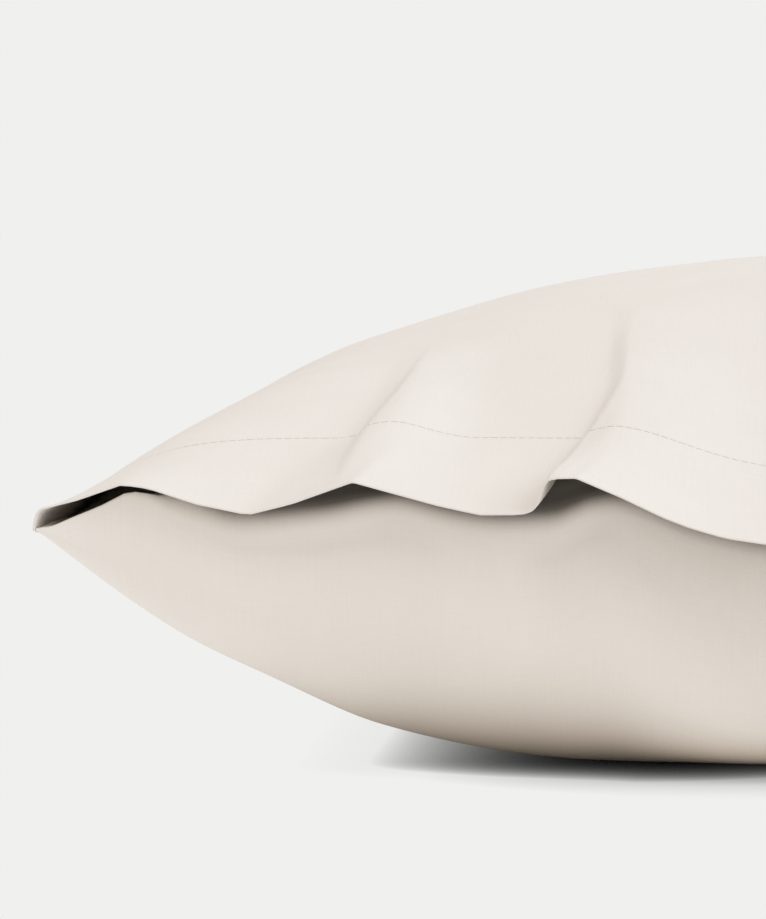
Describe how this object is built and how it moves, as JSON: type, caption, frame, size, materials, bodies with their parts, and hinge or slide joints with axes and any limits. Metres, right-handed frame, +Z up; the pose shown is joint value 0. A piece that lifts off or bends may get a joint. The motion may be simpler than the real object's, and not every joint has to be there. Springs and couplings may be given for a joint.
{
  "type": "filled pillowcase",
  "caption": "Filled pillowcase lying flat, its front panel ending in a wide stitched hem that waves over the tucked-in mouth.",
  "frame": {"origin": "on the surface, under the middle of the bounding box", "axes": "+Z up, +Y from the open end to the closed end, +X across the case"},
  "size_m": [0.47, 0.735, 0.1473],
  "materials": {
    "cream_percale": "matt fine plain weave"
  },
  "bodies": {
    "root": {"front_panel": "cream_percale", "filled_back_panel": "cream_percale"}
  },
  "joints": []
}
